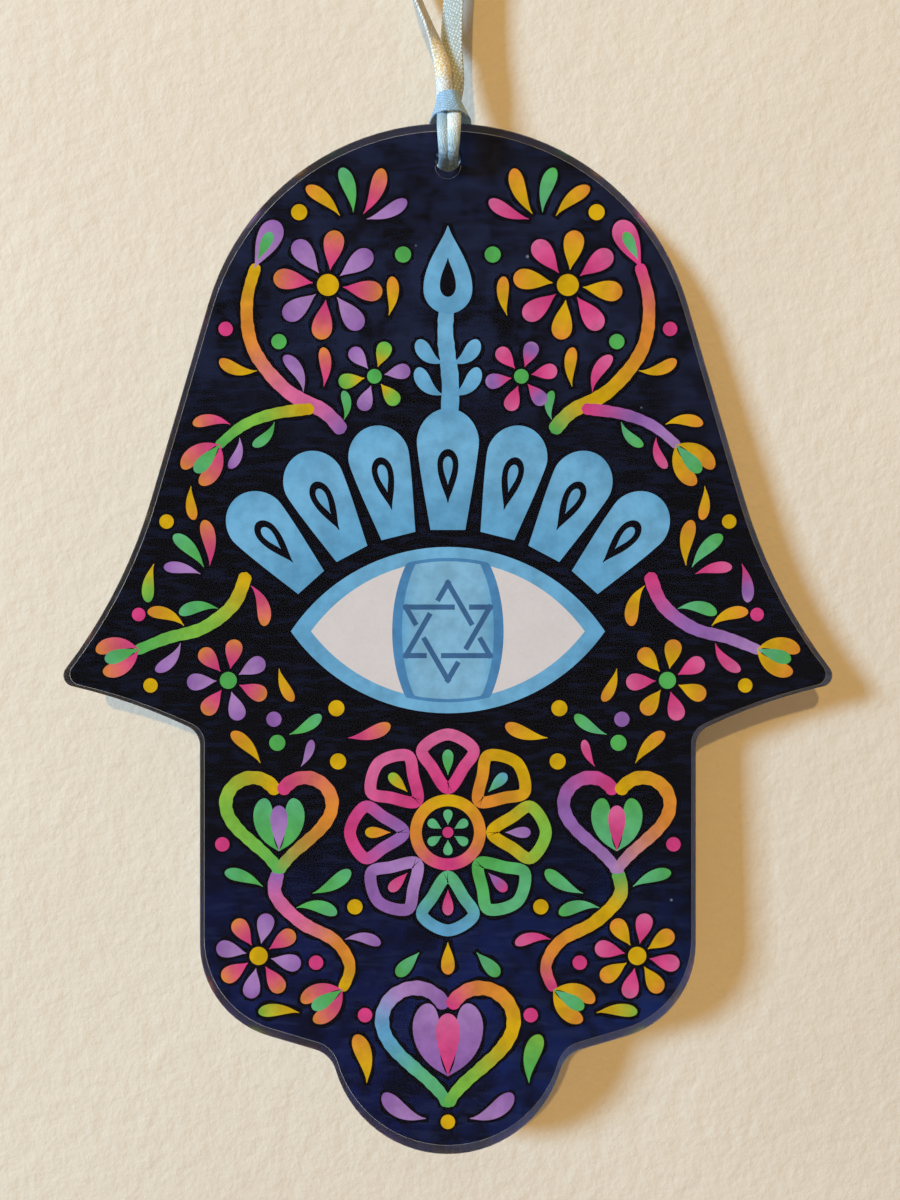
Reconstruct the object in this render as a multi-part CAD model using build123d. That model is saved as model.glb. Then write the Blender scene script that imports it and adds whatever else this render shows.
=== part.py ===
from build123d import *
import math
import os

# Hamsa hand ornament: a flat acrylic hand with a print behind it, hung on a narrow satin ribbon.
# The frame has +Z up and the front facing -Y. The origin is the nail's place, at the top inside of
# the hanging loop. Lengths are in millimetres and angles in degrees.

# Plate outline, from its top edge down, one side of the middle line
plate_height = 120.0
plate_thickness = 3.0
edge_break = 0.15
dome_radius = 29.0
cheek_angle = 16.3
cheek_length = 24.0
flare_radius = 60.0
tip_drop = 65.1
tip_radius = 1.3
thumb_belly = 0.6
palm_half_width = 28.85
armpit_drop = 70.9
armpit_radius = 2.5
corner_rise = 24.5
corner_radius = 11.2
lobe_radius = 13.6
neck_angle = 8.5
neck_radius = 3.5

# Hanging hole
hole_radius = 1.5
hole_drop = 4.15

# Layers behind the plate
print_thickness = 0.12
backing_thickness = 0.2
sheet_inset = 0.02

# Ribbon: flat in the tails, folded lengthwise in the hitch
ribbon_width = 3.0
ribbon_thickness = 0.3
strand_width = 1.0
strand_thickness = 0.62
strand_gap = 0.08
strand_bend = 0.9
soft_clearance = 0.25

# Hitch round the plate's top edge
wrap_rise = 0.8
wrap_height = 3.0
wrap_thickness = 0.3
wrap_flare = 0.9
wrap_bend = 0.75
wrap_arch = 0.55
wrap_arch_reach = 1.9
neck_rise = 4.3
neck_run = 0.7
fold_clearance = 0.4

# Hanging loop
loop_drop = 48.0
nail_radius = 1.0
nail_clearance = 0.35
knot_rise = 3.2
knot_clearance = 0.1
knot_turn_radius = 1.75
knot_tilt = 24.0
knot_cord_radius = 1.3
knot_cord_sides = 8
knot_core_radius = 1.15
knot_core_height = 5.4
end_length = 9.0
end_spread = 3.0
end_gap = 0.3

# Sections along a twisted tail, and its quarter turn from the hitch to the nail
tail_sections = 14
hitch_turn = 0.0
nail_turn = -90.0

# Routes of the tails in the loop, from the hitch to the knot, as shares. The first number is a share
# of the loop's drop and the second a share of the way up it. The third is a share of the tail's lap.
left_route_shares = [
    (-0.012, 0.0, 1.0),
    (-0.020, 0.09, 1.0),
    (-0.078, 0.23, 0.9),
    (-0.128, 0.43, 0.7),
    (-0.118, 0.64, 0.4),
    (-0.072, 0.82, 0.2),
]
right_route_shares = [
    (0.012, 0.0, 1.0),
    (0.013, 0.20, 1.0),
    (0.021, 0.44, 0.7),
    (0.034, 0.67, 0.4),
    (0.036, 0.85, 0.2),
]

# Places worked out from the sizes above
plate_top = -loop_drop
hole_z = plate_top - hole_drop
half_plate = plate_thickness / 2
layers_back = half_plate + print_thickness + backing_thickness
front_y = -half_plate - soft_clearance - strand_thickness / 2
back_y = layers_back + soft_clearance + strand_thickness / 2
neck_z = plate_top + neck_rise
fold_z = neck_z + fold_clearance
tail_start_z = fold_z + fold_clearance
wrap_base_z = plate_top + wrap_rise
strand_x = (strand_width + strand_gap) / 2
strand_reach = strand_x + strand_width / 2
seat_rise = math.sqrt((hole_radius - soft_clearance) ** 2 - strand_reach**2) - strand_thickness / 2
pass_z = hole_z + seat_rise
tail_lap = (ribbon_thickness + strand_gap) / 2
nail_side = nail_radius + nail_clearance + ribbon_thickness / 2


def on_circle(centre, radius, angle):
    """A point on a circle, at an angle from +X."""
    turn = math.radians(angle)
    return (centre[0] + radius * math.cos(turn), centre[1] + radius * math.sin(turn))


def half_outline():
    """The closed right half of the hand's outline, with its top at the sketch's origin."""
    dome = CenterArc((0, -dome_radius), dome_radius, cheek_angle, 90 - cheek_angle)
    down = math.radians(cheek_angle)
    heading = (math.sin(down), -math.cos(down))
    cheek_top = on_circle((0, -dome_radius), dome_radius, cheek_angle)
    cheek_foot = (cheek_top[0] + cheek_length * heading[0], cheek_top[1] + cheek_length * heading[1])
    cheek = Line(cheek_top, cheek_foot)
    rise = math.sin(down) + (tip_drop + cheek_foot[1]) / flare_radius
    flare = JernArc(cheek_foot, heading, flare_radius, math.degrees(math.asin(rise) - down))
    tip = flare @ 1
    armpit = (palm_half_width, -armpit_drop)
    underside = SagittaArc(tip, armpit, -thumb_belly)
    corner_top = (palm_half_width, corner_rise - plate_height)
    side = Line(armpit, corner_top)

    corner_centre = (palm_half_width - corner_radius, corner_rise - plate_height)
    lobe_centre = (0, lobe_radius - plate_height)
    neck = on_circle(lobe_centre, lobe_radius, -neck_angle)
    reach = (neck[0] - corner_centre[0], neck[1] - corner_centre[1])
    towards_neck = math.atan2(reach[1], reach[0])
    turn = math.degrees(towards_neck + math.acos(corner_radius / math.hypot(*reach)))
    corner = JernArc(corner_top, (0, -1), corner_radius, turn)
    shoulder = Line(corner @ 1, neck)
    lobe = CenterArc(lobe_centre, lobe_radius, -90, 90 - neck_angle)
    middle = Line((0, -plate_height), (0, 0))
    half = make_face([dome, cheek, flare, underside, side, corner, shoulder, lobe, middle])

    half = round_corner(half, tip, tip_radius)
    half = round_corner(half, armpit, armpit_radius)
    return round_corner(half, neck, neck_radius)


def round_corner(face, point, radius):
    """The face with the corner nearest to a point rounded."""
    corner = face.vertices().sort_by_distance(Vector(*point))[0]
    return fillet(corner, radius)


def hand_face():
    """The whole outline as one face, without its hole."""
    half = half_outline()
    return half + mirror(half, about=Plane.YZ)


def upright(sketch, foot_y):
    """Stands a sketch of the plate up, with the face that is to be extruded forwards at foot_y."""
    return Plane((0, foot_y, plate_top), x_dir=(1, 0, 0), z_dir=(0, -1, 0)) * sketch


def make_plate(hand):
    """The clear plate, with its hole and its front edges slightly broken."""
    outline = hand - Pos(0, -hole_drop) * Circle(hole_radius)
    plate = extrude(upright(outline, half_plate), plate_thickness)
    return chamfer(plate.faces().sort_by(Axis.Y)[0].edges(), edge_break)


def make_layer(hand, inset, glued_y, thickness):
    """A sheet glued behind the plate, a little smaller than its outline."""
    rim = [true_arc(edge) for edge in offset(hand, -inset).edges()]
    outline = make_face(rim) - Pos(0, -hole_drop) * Circle(hole_radius + inset)
    return extrude(upright(outline, glued_y + thickness), thickness)


def true_arc(edge):
    """An edge of an offset outline, with a curve that only follows an arc written as the arc itself."""
    if edge.geom_type == GeomType.OFFSET:
        return ThreePointArc(edge @ 0, edge @ 0.5, edge @ 1)
    return edge


def make_strand(side):
    """One folded strand: behind the wrap, down the front, through the hole and up the back."""
    path = FilletPolyline(
        (0, neck_z),
        (0, neck_z - neck_run),
        (front_y, wrap_base_z + neck_run),
        (front_y, pass_z),
        (back_y, pass_z),
        (back_y, wrap_base_z),
        radius=[strand_bend, strand_bend, strand_bend, strand_bend],
    )
    band = trace(path, strand_thickness)
    block = extrude(Plane.YZ * band, strand_width / 2, both=True)
    return Pos(side * strand_x, 0, 0) * block


def make_wrap():
    """The ribbon's bight, laid round the front of the strands and back over the plate's top edge."""
    ring = wrap_shell(wrap_thickness) - wrap_shell(0)
    joint = Box(2 * strand_gap, back_y, 2 * wrap_height)
    wrap = ring - Pos(0, back_y, wrap_base_z + wrap_height / 2) * joint
    radius = (wrap_arch_reach**2 + wrap_arch**2) / (2 * wrap_arch)
    arch = Pos(0, front_y, wrap_base_z + wrap_arch - radius) * Rot(90, 0, 0) * Cylinder(radius, -2 * front_y)
    return wrap - arch


def wrap_shell(grow):
    """A block as wide as the strands that the wrap holds, grown on all sides, which flares downwards."""
    reach_x = strand_reach + strand_gap + grow
    reach_y = (back_y - front_y + strand_thickness) / 2 + strand_gap + grow
    bend = wrap_bend + grow
    foot = RectangleRounded(2 * (reach_x + wrap_flare), 2 * reach_y, bend)
    top = RectangleRounded(2 * reach_x, 2 * reach_y, bend)
    lift = Pos(0, (front_y + back_y) / 2, wrap_base_z)
    return loft([lift * foot, lift * Pos(0, 0, wrap_height) * top], ruled=True)


def tail_route(shares, side):
    """The points that a tail follows, from the hitch past the nail and into the knot."""
    climb = -nail_side - tail_start_z
    points = [
        (across * loop_drop, side * tail_lap * lap, tail_start_z + up * climb)
        for across, up, lap in shares
    ]
    points.append((side * nail_side, 0, 0))
    points.append((side * (ribbon_thickness + end_gap) / 2, 0, knot_rise - knot_clearance))
    return points


def corner_radii(points):
    """The largest arc that the two runs at each corner leave room for."""
    radii = []
    for before, here, after in zip(points, points[1:], points[2:]):
        run_in, run_out = Vector(here) - Vector(before), Vector(after) - Vector(here)
        half_turn = math.radians(run_in.get_angle(run_out)) / 2
        radii.append(0.45 * min(run_in.length, run_out.length) / math.tan(half_turn))
    return radii


def make_tail(name, shares, side):
    """One flat tail, lofted through sections that turn by a quarter between the hitch and the nail."""
    points = tail_route(shares, side)
    radii = corner_radii(points)
    path = FilletPolyline(*points, radius=radii)
    nail_share = (path.length - knot_rise) / path.length
    sections = []
    for number in range(tail_sections + 1):
        share = number / tail_sections
        turned = min(share / nail_share, 1)
        angle = math.radians(hitch_turn + (nail_turn - hitch_turn) * turned)
        across = (math.cos(angle), math.sin(angle), 0)
        frame = Plane(path @ share, x_dir=across, z_dir=path % share)
        sections.append(frame * Rectangle(ribbon_width, ribbon_thickness))
    tail = loft(sections, ruled=True)
    expected = ribbon_width * ribbon_thickness * path.length
    print(name, "length", round(path.length, 1), "radii", [round(r, 1) for r in radii])
    print(name, "volume", round(tail.volume, 1), "section times length", round(expected, 1))
    return tail


def make_knot():
    """The overhand knot: both tails turn once round their own standing part."""
    middle_z = knot_rise + knot_core_height / 2
    bundle = Plane.XZ * Pos(knot_turn_radius, 0) * RegularPolygon(knot_cord_radius, knot_cord_sides)
    turn = Pos(0, 0, middle_z) * Rot(0, knot_tilt, 0) * revolve(bundle, Axis.Z)
    core = Pos(0, 0, middle_z) * Cylinder(knot_core_radius, knot_core_height)
    return turn + core


def make_end(side):
    """A cut end of the ribbon above the knot, leaning outwards."""
    foot_z = knot_rise + knot_core_height
    foot = Plane((side * (ribbon_thickness + end_gap) / 2, 0, foot_z))
    top = Plane((side * end_spread, 0, foot_z + end_length))
    section = Rectangle(ribbon_thickness, 2 * knot_core_radius)
    cut = Rectangle(ribbon_thickness, ribbon_width)
    return loft([foot * section, top * cut], ruled=True)


def save(part, node):
    """Writes one node and says how large it is."""
    export_step(part, "parts/" + node + ".step")
    print(node, "volume", round(part.volume, 1))


os.makedirs("parts", exist_ok=True)
hand = hand_face()
save(make_plate(hand), "acrylic_plate")
save(make_layer(hand, sheet_inset, half_plate, print_thickness), "printed_sheet")
save(make_layer(hand, sheet_inset, half_plate + print_thickness, backing_thickness), "backing_sheet")
save(make_strand(-1), "left_strand")
save(make_strand(1), "right_strand")
save(make_wrap(), "ribbon_wrap")
save(make_tail("left_tail", left_route_shares, -1), "left_tail")
save(make_tail("right_tail", right_route_shares, 1), "right_tail")
save(make_knot(), "top_knot")
save(make_end(-1), "left_end")
save(make_end(1), "right_end")
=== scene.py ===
# %% [markdown]
# # A hamsa hand ornament
# The object is a flat hand cut from clear acrylic, with a coloured print glued behind it, and it
# hangs on a narrow satin ribbon. The solid model is already made and packed, so this lesson starts
# from it and gives each piece its real surface. Every length below is in millimetres until it
# reaches Blender, which works in metres: `mm` does that change in one place.

# %% Load the fixed frame
import bmesh
import bpy
import math
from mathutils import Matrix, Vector


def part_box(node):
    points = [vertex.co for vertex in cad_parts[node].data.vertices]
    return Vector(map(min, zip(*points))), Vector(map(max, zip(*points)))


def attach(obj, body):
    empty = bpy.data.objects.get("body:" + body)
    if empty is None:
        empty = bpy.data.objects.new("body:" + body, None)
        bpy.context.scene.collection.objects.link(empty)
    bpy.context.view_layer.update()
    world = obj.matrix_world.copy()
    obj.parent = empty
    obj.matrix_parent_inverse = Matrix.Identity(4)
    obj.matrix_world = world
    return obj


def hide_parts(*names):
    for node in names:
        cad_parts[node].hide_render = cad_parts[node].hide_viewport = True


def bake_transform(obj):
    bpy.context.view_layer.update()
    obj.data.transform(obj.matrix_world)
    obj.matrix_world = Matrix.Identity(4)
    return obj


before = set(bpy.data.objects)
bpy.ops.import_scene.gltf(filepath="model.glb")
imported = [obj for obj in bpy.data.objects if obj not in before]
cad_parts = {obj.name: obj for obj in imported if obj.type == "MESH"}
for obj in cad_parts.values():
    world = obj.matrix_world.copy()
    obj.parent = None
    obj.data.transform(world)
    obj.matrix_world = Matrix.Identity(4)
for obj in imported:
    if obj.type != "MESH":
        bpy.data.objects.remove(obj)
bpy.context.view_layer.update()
mm = 0.001
plate_low, plate_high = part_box("acrylic_plate")
top_z = plate_high.z / mm
back_face_y = plate_high.y / mm

# %% [markdown]
# ## The camera
# The picture was taken from close by, about eleven centimetres away, so the hand looks a little
# wider than it would from across a room, and the ribbon is seen from below. A wide lens close to
# the object gives the same perspective. The camera looks straight at the wall, level with the
# middle of the frame, and needs no shift.

# %% Camera
def put(name, data):
    """A new object in the scene, with this data."""
    made = bpy.data.objects.new(name, data)
    bpy.context.collection.objects.link(made)
    return made


camera_place = (0.25, -106.1, -103.5)
camera_data = bpy.data.cameras.new("camera")
camera_data.lens = 27
camera_data.sensor_width = 36
camera_data.clip_start = 1 * mm
camera = put("camera", camera_data)
camera.location = Vector(camera_place) * mm
camera.rotation_euler = (math.radians(90), 0, 0)
bpy.context.scene.camera = camera
print("camera", camera_place)

# %% [markdown]
# ## Shader maths as plain sums
# A material is a network of nodes, and most of them only do sums. One small class wraps the output
# socket of a node, and overloads the operators, so that `1 - mask * 0.3` adds the Math nodes that
# it needs. Its method `node` adds any other node: its type, its settings, which are set first, and
# then the values or links of its sockets. Colours go through `blend_with`, because a Math node
# would turn them grey. The last few methods are the nodes that this lesson needs again and again.

# %% A socket that can be used in sums
class Wire:
    """The output socket of a node, which takes part in sums as a number does."""

    def __init__(self, tree, socket=None):
        self.tree, self.socket = tree, socket

    def node(self, kind, settings=(), inputs=(), output=0):
        """Adds one node, with its settings and then its sockets, and wraps one of its outputs."""
        made = self.tree.nodes.new("ShaderNode" + kind)
        for name, value in dict(settings).items():
            setattr(made, name, value)
        for name, value in dict(inputs).items():
            if isinstance(value, Wire):
                self.tree.links.new(value.socket, made.inputs[name])
            else:
                made.inputs[name].default_value = value
        return Wire(self.tree, made.outputs[output] if made.outputs else None)

    def maths(self, operation, *terms):
        return self.node("Math", {"operation": operation}, enumerate(terms))

    def __add__(self, other):
        return self.maths("ADD", self, other)

    def __sub__(self, other):
        return self.maths("SUBTRACT", self, other)

    def __rsub__(self, other):
        return self.maths("SUBTRACT", other, self)

    def __mul__(self, other):
        return self.maths("MULTIPLY", self, other)

    def __abs__(self):
        return self.maths("ABSOLUTE", self)

    __radd__ = __add__
    __rmul__ = __mul__

    def wave(self, period):
        """A wave between 0 and 1, with its period in the units of this value."""
        return self.maths("SINE", self * (2 * math.pi / period)) * 0.5 + 0.5

    def between(self, low, high):
        """0 at low, 1 at high and smooth between them."""
        limits = {"Value": self, "From Min": low, "From Max": high}
        return self.node("MapRange", {"interpolation_type": "SMOOTHSTEP"}, limits)

    def blend_with(self, first, second):
        """The first colour where this value is 0, and the second where it is 1."""
        return self.node("Mix", {"data_type": "RGBA"}, {0: self, 6: first, 7: second}, 2)

    def part(self, number):
        """One number of a place: 0 is across, 1 is to the back, or along a ribbon, and 2 is up."""
        return self.node("SeparateXYZ", (), {0: self}, number)

    def stretched(self, x, y, z):
        """A place with each of its numbers scaled, which stretches the pattern laid on it."""
        return self.node("VectorMath", {"operation": "MULTIPLY"}, {0: self, 1: (x, y, z)})

    def noise(self, scale, detail, **more):
        """Cloudy noise between 0 and 1, laid on this place."""
        return self.node("TexNoise", (), {"Vector": self, "Scale": scale, "Detail": detail, **more})

    def bump(self, strength, depth):
        """The slope of a surface with this height, and with a depth in millimetres."""
        return self.node("Bump", (), {"Height": self, "Strength": strength, "Distance": depth * mm})

    def principled(self, **more):
        """The usual shader. A socket is named with _ for each space."""
        return self.node("BsdfPrincipled", (), {k.replace("_", " "): v for k, v in more.items()})


print("a wire has", sum(not name.startswith("_") for name in vars(Wire)), "methods of its own")

# %% [markdown]
# Colours are picked as a screen shows them, and nodes work in linear light, so each colour is
# changed once on its way in. Every material starts empty and ends at its output.

# %% Colours and materials
def plain(*colour):
    """A colour as it is seen on a screen, from 0 to 1, in the linear numbers that nodes use."""
    return tuple(((c + 0.055) / 1.055) ** 2.4 if c > 0.04045 else c / 12.92 for c in colour)


def paint(*colour):
    """The same for a colour socket, which has a fourth number."""
    return (*plain(*colour), 1)


def new_material(name):
    """An empty material, and a wire to build its nodes from."""
    made = bpy.data.materials.new(name)
    made.use_nodes = True
    made.node_tree.nodes.clear()
    return made, Wire(made.node_tree)


def own_place(start):
    """Where a point is on the object itself, so that a pattern moves with the piece."""
    return start.node("TexCoord", (), (), "Object")


def cover(start, surface):
    """Ends a material: what the surface looks like goes to its output."""
    start.node("OutputMaterial", (), {"Surface": surface})


print("a mid grey of 0.5 is", round(plain(0.5, 0.5, 0.5)[0], 3), "in linear light")

# %% [markdown]
# ## The satin of the ribbon
# The ribbon is a woven satin, three millimetres wide and pale blue. Its long threads float over
# the cross threads, which gives it its shine along the length, and the cross threads turn back at
# both edges in a row of small loops. The weave is laid out by two numbers that each ribbon carries
# in its UV map: how far across the ribbon a point is, and how far along, both in millimetres. So
# the threads follow every bend and twist of the ribbon.
#
# Satin takes on the light that falls on it more than most cloth does, so each stretch has its own
# copy of the material, with the light and shade that fall on that stretch painted into its colours.
# A patch is painted warm light, a painted highlight or painted shade, where a stretch turns to the
# light or dips into shade, and in a light patch the highest threads get painted highlights.

# %% Satin
ribbon_half = 1.5
ribbon_side = 0.13
loop_gap = 0.5
patch_fade = 1.6
light_patch = 0.9
painted_glint_colour = paint(0.98, 0.99, 0.97)
loop_colour = paint(0.93, 0.97, 0.98)


def satin(name, pale, shade, loop_shine, pick, contrast, patches=()):
    """Woven satin with its floats in rows, a pick apart.

    Each patch is painted light or painted shade, with the two places along the ribbon that it lies
    between, its colour and its strength.
    """
    made, start = new_material(name)
    place = start.node("UVMap", {"uv_map": "weave"})
    across, along = place.part(0), place.part(1)
    pull = place.noise(1.6, 3) - 0.5
    row, column = along + pull * 0.55, across + pull * 0.45
    floats = (row + column * 0.8).wave(pick * 1.15) * (column - row * 0.35).wave(pick)
    spread = start.node("CombineXYZ", (), {0: across * 3, 1: along * 0.4})
    fuzz = spread.noise(2.6, 5, Roughness=0.65).between(0.34, 0.66)
    worn = place.noise(2.3, 4, Roughness=0.7)
    painted_glints = place.noise(3.6, 2).between(0.50, 0.60)
    shine = floats.between(0.12, 0.75) * (worn.between(0.32, 0.62) * 0.7 + 0.3)
    lift = shine * contrast + fuzz * (1 - contrast)
    # The floats are painted paler than the threads beside them: the weave's own pattern, and a
    # painted sheen.
    thread_colour = lift.blend_with(paint(*shade), paint(*pale))
    for low, high, colour, strength in patches:
        here = along.between(low, low + patch_fade) * (1 - along.between(high - patch_fade, high))
        mottled = here * strength * (shine * 0.45 + worn.between(0.35, 0.6) * 0.4 + 0.15)
        thread_colour = mottled.blend_with(thread_colour, paint(*colour))
        # A patch this pale is a painted highlight, and its highest threads get brighter painted
        # highlights.
        if max(colour) > light_patch:
            lit = here * painted_glints * strength * 0.75
            thread_colour = lit.blend_with(thread_colour, painted_glint_colour)
    # The loops at the edges are painted near white: partly their own thread, partly a painted
    # highlight.
    loops = abs(across + pull * 0.2).between(1.14, 1.4) * (along + pull * 0.2).wave(loop_gap)
    loops = loops.between(0.25, 0.9) * (worn.between(0.3, 0.5) * 0.6 + 0.4)
    cover(start, start.principled(
        Base_Color=(loops * loop_shine).blend_with(thread_colour, loop_colour),
        Roughness=0.50 - shine * 0.16,
        Normal=(shine * 0.6 + loops * 0.9 + fuzz * 0.4).bump(0.8, 0.06),
        Anisotropic=0.4,
        Sheen_Weight=0.2,
        Sheen_Roughness=0.35,
        Specular_IOR_Level=0.6,
    ))
    return made


# Painted shade where the strands go down into the hole.
painted_shade_in_hole = (7.0, 14.0, (0.12, 0.34, 0.50), 1.0)
satin_tail = satin(
    "pale_blue_satin", (0.89, 0.92, 0.91), (0.58, 0.61, 0.56),
    loop_shine=1.0, pick=0.42, contrast=0.85,
)
# The front tail's copy is warmer, with a painted bluish highlight near the hitch and a painted gold
# reflection of the warm lamp above it.
satin_front_tail = satin(
    "pale_blue_satin_painted_warm_light", (0.95, 0.93, 0.87), (0.62, 0.58, 0.50),
    loop_shine=0.9, pick=0.34, contrast=0.7,
    patches=[(-2.0, 3.6, (0.90, 0.95, 0.97), 0.9), (2.0, 8.4, (1.0, 0.86, 0.50), 1.0)],
)
# The front strand's copy has a painted highlight near its top and painted shade in the hole.
satin_strand = satin(
    "pale_blue_satin_gathered", (0.96, 0.98, 0.95), (0.52, 0.68, 0.72),
    loop_shine=0.5, pick=0.3, contrast=0.5,
    patches=[(0.8, 7.2, (1.0, 1.0, 0.96), 0.9), painted_shade_in_hole],
)
# The strand behind has a darker copy, with painted shade along its top and in the hole.
satin_painted_shade_strand = satin(
    "pale_blue_satin_painted_shade", (0.93, 0.96, 0.95), (0.46, 0.62, 0.68),
    loop_shine=0.5, pick=0.3, contrast=0.6,
    patches=[(0.8, 6.2, (0.40, 0.58, 0.67), 0.9), painted_shade_in_hole],
)
satin_wrap = satin(
    "pale_blue_satin_pulled_tight", (0.78, 0.88, 0.93), (0.44, 0.61, 0.72),
    loop_shine=0.1, pick=0.34, contrast=0.8,
)
print("satins", satin_tail.name, satin_strand.name, satin_wrap.name)

# %% [markdown]
# ## Laying a ribbon along a smooth route
# A ribbon could be a flat curve with a bevel, but then it could neither curl across its width nor
# twist where the real one does. So a curve gives only the route, a NURBS spline with a few control
# points, and the ribbon is a mesh that is laid along the points read from it.

# %% A smooth route
def route_line(points, gap):
    """Evenly spaced points, in millimetres, along a smooth route with these control points."""
    route = bpy.data.curves.new("route", "CURVE")
    route.dimensions = "3D"
    route.resolution_u = 40
    spline = route.splines.new("NURBS")
    spline.points.add(len(points) - 1)
    for knot, (x, y, z) in zip(spline.points, points):
        knot.co = (x * mm, y * mm, z * mm, 1)
    spline.order_u = 3
    spline.use_endpoint_u = True
    holder = bpy.data.objects.new("route", route)
    read = [v.co / mm for v in bpy.data.meshes.new_from_object(holder).vertices]
    bpy.data.objects.remove(holder)
    reach = [0.0]
    for before, here in zip(read, read[1:]):
        reach.append(reach[-1] + (here - before).length)
    count = max(2, round(reach[-1] / gap))
    line, low = [], 0
    for number in range(count + 1):
        wanted = reach[-1] * number / count
        while low < len(read) - 2 and reach[low + 1] < wanted:
            low += 1
        share = (wanted - reach[low]) / (reach[low + 1] - reach[low])
        line.append(read[low].lerp(read[low + 1], share))
    return line


def around(line, number):
    """The points just before and just after one. At an end, it is the point itself on one side."""
    return line[max(number - 1, 0)], line[min(number + 1, len(line) - 1)]


def heading(line, number):
    """The way that a line goes at one of its points."""
    behind, ahead = around(line, number)
    return (ahead - behind).normalized()


def square_to(forward, way):
    """A way, turned as little as needed to be square to another."""
    return (way - forward * way.dot(forward)).normalized()


def turned(degrees):
    """The way across a ribbon that has turned this far from facing the camera."""
    return Vector((math.cos(math.radians(degrees)), math.sin(math.radians(degrees)), 0))


def ramp(share, stops):
    """The value at a share of the way, between (share, value) stops."""
    for (a, low), (b, high) in zip(stops, stops[1:]):
        if share <= b:
            return low + (high - low) * max(0.0, share - a) / (b - a)
    return stops[-1][1]


print("half way up a ramp from 0 to 2:", ramp(0.5, [(0, 0), (1, 2)]))

# %% [markdown]
# Round each section of the ribbon go a front side and a back side, which curl as the ribbon is
# gathered, and its edges swell a little, once for every loop of the cross threads. The sections are
# then joined along the route, and both ends are closed.

# %% A ribbon on its route
def ribbon_section(curl, squeeze, swell, columns=12):
    """Points round one section: across, out and the place in the weave. The curl is in radians."""
    radius = 2 * ribbon_half / max(curl, 0.02)
    sides = []
    for face in (1, -1):
        row = []
        for column in range(columns + 1):
            place = ribbon_half * (2 * column / columns - 1)
            edge = max(0.0, abs(place) / ribbon_half - 0.8) / 0.2
            arm = radius - face * ribbon_side * (1 + swell * edge)
            angle = place / radius
            row.append((arm * math.sin(angle), (radius - arm * math.cos(angle)) * squeeze, place))
        sides.append(row)
    return sides[0] + sides[1][::-1]


def new_piece(name, mesh, material, body, instead_of=None, soft=True):
    """Puts a mesh in the scene as a piece, on a body and instead of a solid if they are given."""
    piece = put(name, mesh)
    mesh.materials.append(material)
    mesh.polygons.foreach_set("use_smooth", [soft] * len(mesh.polygons))
    if body:
        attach(piece, body)
    if instead_of:
        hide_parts(instead_of)
    return piece


def face_outwards(mesh, join=0.0):
    """Joins the vertices that are nearer than this, and turns every face outwards."""
    tidy = bmesh.new()
    tidy.from_mesh(mesh)
    if join:
        bmesh.ops.remove_doubles(tidy, verts=tidy.verts, dist=join)
    bmesh.ops.recalc_face_normals(tidy, faces=tidy.faces)
    tidy.to_mesh(mesh)
    tidy.free()


def woven_mesh(verts, faces, places):
    """A closed mesh, which also has the two numbers of the weave at each of its corners."""
    mesh = bpy.data.meshes.new("ribbon")
    mesh.from_pydata(verts, [], faces)
    face_outwards(mesh)
    layer = mesh.uv_layers.new(name="weave")
    for corner in mesh.loops:
        layer.data[corner.index].uv = places[corner.vertex_index]
    return mesh


def lay_ribbon(line, facing, curl, squeeze=lambda share: 1.0, shift=0.0):
    """A mesh ribbon along a line. facing(share) is the way across the ribbon, as a vector."""
    verts, faces, places, along = [], [], [], 0.0
    last = len(line) - 1
    for number, here in enumerate(line):
        share = number / last
        behind, ahead = around(line, number)
        if number:
            along += (ahead - behind).length / (1 if number == last else 2)
        forward = heading(line, number)
        across = square_to(forward, facing(share))
        out = forward.cross(across)
        swell = 0.35 + 0.5 * abs(math.sin(math.pi * along / loop_gap))
        for side, up, place in ribbon_section(curl(share), squeeze(share), swell):
            verts.append((here + across * side + out * (up + shift)) * mm)
            places.append((place, along))
    ring = len(verts) // len(line)
    for row in range(last):
        for turn in range(ring):
            a, b = row * ring + turn, row * ring + (turn + 1) % ring
            faces.append((a, b, b + ring, a + ring))
    for first, order in ((0, -1), (last * ring, 1)):
        for turn in range(ring // 2 - 1):
            cap = (turn, turn + 1, ring - 2 - turn, ring - 1 - turn)
            faces.append(tuple(first + n for n in cap)[::-order])
    return woven_mesh(verts, faces, places)


print("a ribbon section has", len(ribbon_section(1.0, 1.0, 0.5)), "points")

# %% [markdown]
# ## The two tails
# Both tails come out of the hitch gathered and curled, the left one in front. They open out as
# they rise and twist a quarter turn by the time they reach the nail, so that they lie flat against
# it, and above it they meet in the knot.

# %% Tails
def make_tail(name, points, turns, curls, cloth):
    """One tail, laid as a ribbon along its route."""
    line = route_line(points, gap=0.125)
    mesh = lay_ribbon(line, lambda s: turned(ramp(s, turns)), lambda s: ramp(s, curls))
    tail = new_piece(name + "_ribbon", mesh, cloth, None, name)
    length = sum((b - a).length for a, b in zip(line, line[1:]))
    print(name, "is", round(length, 1), "mm long")
    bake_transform(tail)
    path = [tuple(p * mm) for p in line[::4]]


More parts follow.
